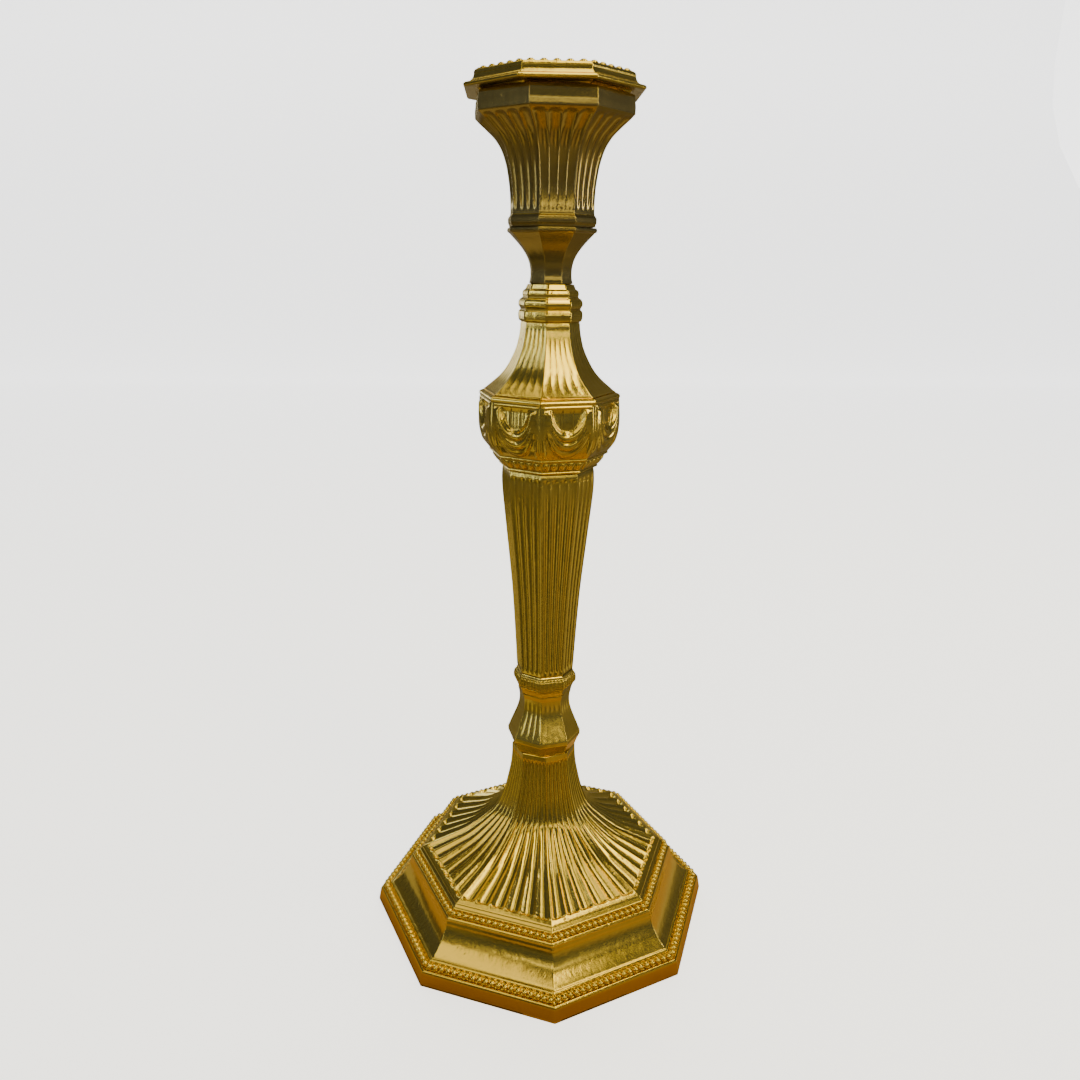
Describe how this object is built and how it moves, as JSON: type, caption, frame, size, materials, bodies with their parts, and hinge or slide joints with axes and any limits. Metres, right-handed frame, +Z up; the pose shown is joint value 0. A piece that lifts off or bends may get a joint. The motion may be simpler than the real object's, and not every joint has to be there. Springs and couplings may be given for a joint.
{
  "type": "candlestick",
  "caption": "Octagonal brass candlestick with a beaded stepped foot, fluted tapering stem, swagged urn, fluted candle cup and a loose drip pan nozzle.",
  "frame": {"origin": "middle of the foot's underside, on the surface it stands on", "axes": "+Z up the stick's axis; a corner of the octagonal foot points along -Y"},
  "size_m": [0.1298, 0.1298, 0.2983],
  "materials": {
    "cast_brass": "polished, with darker recesses",
    "drawn_brass": "drawn, lightly brushed round the tube",
    "zinc_steel": "dull zinc plate"
  },
  "bodies": {
    "stick": {"base": "cast_brass", "base_washer": "zinc_steel", "lock_washer": "zinc_steel", "base_nut": "zinc_steel", "tie_rod": "zinc_steel", "knop": "cast_brass", "stem_ring": "cast_brass", "stem": "cast_brass", "urn": "cast_brass", "shoulder": "cast_brass", "collar": "cast_brass", "neck": "cast_brass", "candle_cup": "cast_brass", "cup_washer": "zinc_steel", "cup_nut": "zinc_steel"},
    "tube": {"nozzle_tube": "drawn_brass"},
    "pan": {"nozzle_pan": "cast_brass"}
  },
  "joints": [
    {"name": "nozzle_lift", "type": "slide", "parent": "stick", "child": "tube", "axis": [0, 0, 1], "range_m": [0, 0.04]},
    {"name": "nozzle_turn", "type": "hinge", "parent": "tube", "child": "pan", "pos_m": [0, 0, 0.2935], "axis": [0, 0, 1], "continuous": true}
  ]
}
